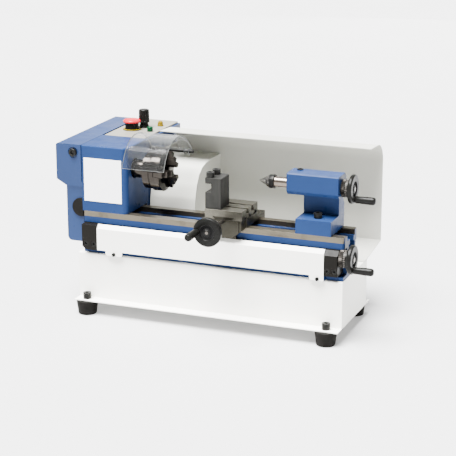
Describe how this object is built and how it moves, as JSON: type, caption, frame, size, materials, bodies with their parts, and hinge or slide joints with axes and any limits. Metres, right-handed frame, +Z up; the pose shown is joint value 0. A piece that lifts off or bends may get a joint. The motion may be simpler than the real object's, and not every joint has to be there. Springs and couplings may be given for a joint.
{
  "type": "bench metal lathe",
  "caption": "Small bench metal lathe with a three-jaw chuck under a clear guard, sliding carriage, cross slide with tool post, tailstock and sheet base on rubber feet.",
  "frame": {"origin": "middle of the underside of the whole lathe's bounding box, on the surface it stands on", "axes": "+X from headstock to tailstock along the bed, +Y from the operator's side to the back, +Z up"},
  "size_m": [0.5394, 0.36, 0.308],
  "materials": {
    "blue_paint": "smooth blue paint on casting",
    "cover_paint": "satin blue paint on sheet",
    "white_paint": "satin white powder coat",
    "ground_steel": "ground and lightly oiled",
    "turned_steel": "turned bright steel",
    "dark_steel": "black oxide",
    "slide_steel": "ground grey iron",
    "bracket_black": "black paint",
    "black_plastic": "moulded black plastic",
    "rubber_black": "moulded rubber",
    "belt_rubber": "belt rubber",
    "clear_plastic": "clear bent plastic",
    "red_plastic": "glossy red",
    "green_plastic": "glossy green",
    "yellow_plastic": "translucent yellow",
    "cream_plate": "satin cream plate",
    "plain_plate": "satin blank plate",
    "bright_dial": "satin chrome",
    "bronze": "machined bronze",
    "motor_grey": "grey motor case"
  },
  "bodies": {
    "frame": {"base_cabinet": "white_paint", "rubber_feet": "rubber_black", "foot_bolts": "dark_steel", "bed": "blue_paint", "frame_bolts": "dark_steel", "headstock": "blue_paint", "spindle_bearings": "turned_steel", "name_plate": "plain_plate", "end_cover": "cover_paint", "cover_screws": "dark_steel", "cover_grommet": "rubber_black", "control_box": "cover_paint", "control_panel": "cream_plate", "control_bushes": "black_plastic", "drive_motor": "motor_grey", "drive_belt": "belt_rubber", "indicator_lamp": "yellow_plastic", "cable_gland": "black_plastic", "leadscrew_guard": "white_paint", "sheet_screws": "dark_steel", "left_bracket": "bracket_black", "right_bracket": "bracket_black", "splash_guard": "white_paint", "hinge_rod": "dark_steel"},
    "spindle": {"spindle": "turned_steel", "spindle_pulley": "bright_dial", "chuck_body": "turned_steel"},
    "scroll": {"chuck_scroll": "turned_steel"},
    "jaw_1": {"jaw_1": "ground_steel"},
    "jaw_2": {"jaw_2": "ground_steel"},
    "jaw_3": {"jaw_3": "ground_steel"},
    "motor_rotor": {"motor_pulley": "bright_dial"},
    "guard": {"chuck_guard": "clear_plastic"},
    "carriage": {"saddle": "slide_steel", "leadscrew_nut": "bronze", "saddle_keepers": "ground_steel"},
    "feed_screw": {"leadscrew": "turned_steel", "leadscrew_dial": "bright_dial", "leadscrew_handwheel": "black_plastic"},
    "feed_grip": {"leadscrew_grip": "black_plastic"},
    "cross_table": {"cross_slide": "slide_steel", "cross_nut": "bronze", "tool_post": "dark_steel", "slide_screws": "dark_steel"},
    "cross_feed": {"cross_screw": "turned_steel", "cross_dial": "bright_dial", "cross_handwheel": "black_plastic"},
    "cross_knob": {"cross_grip": "black_plastic"},
    "tailstock": {"tailstock": "blue_paint", "tailstock_screws": "dark_steel", "tailstock_clamp": "ground_steel"},
    "quill": {"quill": "turned_steel", "dead_centre": "turned_steel"},
    "tail_feed": {"tail_screw": "turned_steel", "tail_dial": "bright_dial", "tail_handwheel": "black_plastic"},
    "tail_knob": {"tail_grip": "black_plastic"},
    "stop_button": {"stop_button": "red_plastic"},
    "start_button": {"start_button": "green_plastic"},
    "speed_knob": {"speed_knob": "black_plastic"}
  },
  "joints": [
    {"name": "spindle_turn", "type": "hinge", "parent": "frame", "child": "spindle", "pos_m": [-0.12975, -0.0238, 0.2384], "axis": [1, 0, 0], "continuous": true},
    {"name": "motor_turn", "type": "hinge", "parent": "frame", "child": "motor_rotor", "pos_m": [-0.22975, 0.085, 0.17], "axis": [1, 0, 0], "continuous": true},
    {"name": "scroll_turn", "type": "hinge", "parent": "spindle", "child": "scroll", "pos_m": [-0.10275, -0.0238, 0.2384], "axis": [1, 0, 0], "range_deg": [-450, 900]},
    {"name": "jaw_1_slide", "type": "slide", "parent": "spindle", "child": "jaw_1", "axis": [0, -1, 0], "range_m": [-0.00501, 0.01001]},
    {"name": "jaw_2_slide", "type": "slide", "parent": "spindle", "child": "jaw_2", "axis": [0, 0.5, -0.866], "range_m": [-0.00501, 0.01001]},
    {"name": "jaw_3_slide", "type": "slide", "parent": "spindle", "child": "jaw_3", "axis": [0, 0.5, 0.866], "range_m": [-0.00501, 0.01001]},
    {"name": "chuck_guard_swing", "type": "hinge", "parent": "frame", "child": "guard", "pos_m": [-0.10975, 0.037, 0.2585], "axis": [-1, 0, 0], "range_deg": [0, 95]},
    {"name": "leadscrew_turn", "type": "hinge", "parent": "frame", "child": "feed_screw", "pos_m": [0.22025, -0.057, 0.136], "axis": [-1, 0, 0], "range_deg": [-13922, 18722]},
    {"name": "carriage_slide", "type": "slide", "parent": "frame", "child": "carriage", "axis": [1, 0, 0], "range_m": [-0.058, 0.078]},
    {"name": "leadscrew_grip_spin", "type": "hinge", "parent": "feed_screw", "child": "feed_grip", "pos_m": [0.25025, -0.0652, 0.1218], "axis": [1, 0, 0], "continuous": true},
    {"name": "cross_screw_turn", "type": "hinge", "parent": "carriage", "child": "cross_feed", "pos_m": [0.02705, -0.065, 0.18], "axis": [0, -1, 0], "range_deg": [-16202, 2]},
    {"name": "cross_slide_travel", "type": "slide", "parent": "carriage", "child": "cross_table", "axis": [0, -1, 0], "range_m": [-0.045, 0]},
    {"name": "cross_grip_spin", "type": "hinge", "parent": "cross_feed", "child": "cross_knob", "pos_m": [0.01065, -0.162, 0.18], "axis": [0, -1, 0], "continuous": true},
    {"name": "tailstock_slide", "type": "slide", "parent": "frame", "child": "tailstock", "axis": [1, 0, 0], "range_m": [-0.078, 0.014]},
    {"name": "tail_screw_turn", "type": "hinge", "parent": "tailstock", "child": "tail_feed", "pos_m": [0.21025, -0.0238, 0.2384], "axis": [-1, 0, 0], "range_deg": [-5762, 4802]},
    {"name": "quill_slide", "type": "slide", "parent": "tailstock", "child": "quill", "axis": [-1, 0, 0], "range_m": [-0.024, 0.02]},
    {"name": "tail_grip_spin", "type": "hinge", "parent": "tail_feed", "child": "tail_knob", "pos_m": [0.24025, -0.0238, 0.222], "axis": [1, 0, 0], "continuous": true},
    {"name": "stop_press", "type": "slide", "parent": "frame", "child": "stop_button", "axis": [0, 0, -1], "range_m": [0, 0.004]},
    {"name": "start_press", "type": "slide", "parent": "frame", "child": "start_button", "axis": [0, 0, -1], "range_m": [0, 0.002], "stiffness_N_per_m": 300},
    {"name": "speed_turn", "type": "hinge", "parent": "frame", "child": "speed_knob", "pos_m": [-0.18475, 0.1, 0.3], "axis": [0, 0, 1], "range_deg": [-135, 135]}
  ],
  "couplings": [
    {"joint": "motor_turn", "follows": "spindle_turn", "ratio": 2.4},
    {"joint": "jaw_1_slide", "follows": "scroll_turn", "m_per_rad": 0.00063662},
    {"joint": "jaw_2_slide", "follows": "scroll_turn", "m_per_rad": 0.00063662},
    {"joint": "jaw_3_slide", "follows": "scroll_turn", "m_per_rad": 0.00063662},
    {"joint": "leadscrew_turn", "follows": "carriage_slide", "rad_per_m": 4188.8},
    {"joint": "cross_screw_turn", "follows": "cross_slide_travel", "rad_per_m": 6283.2},
    {"joint": "tail_screw_turn", "follows": "quill_slide", "rad_per_m": 4188.8}
  ]
}
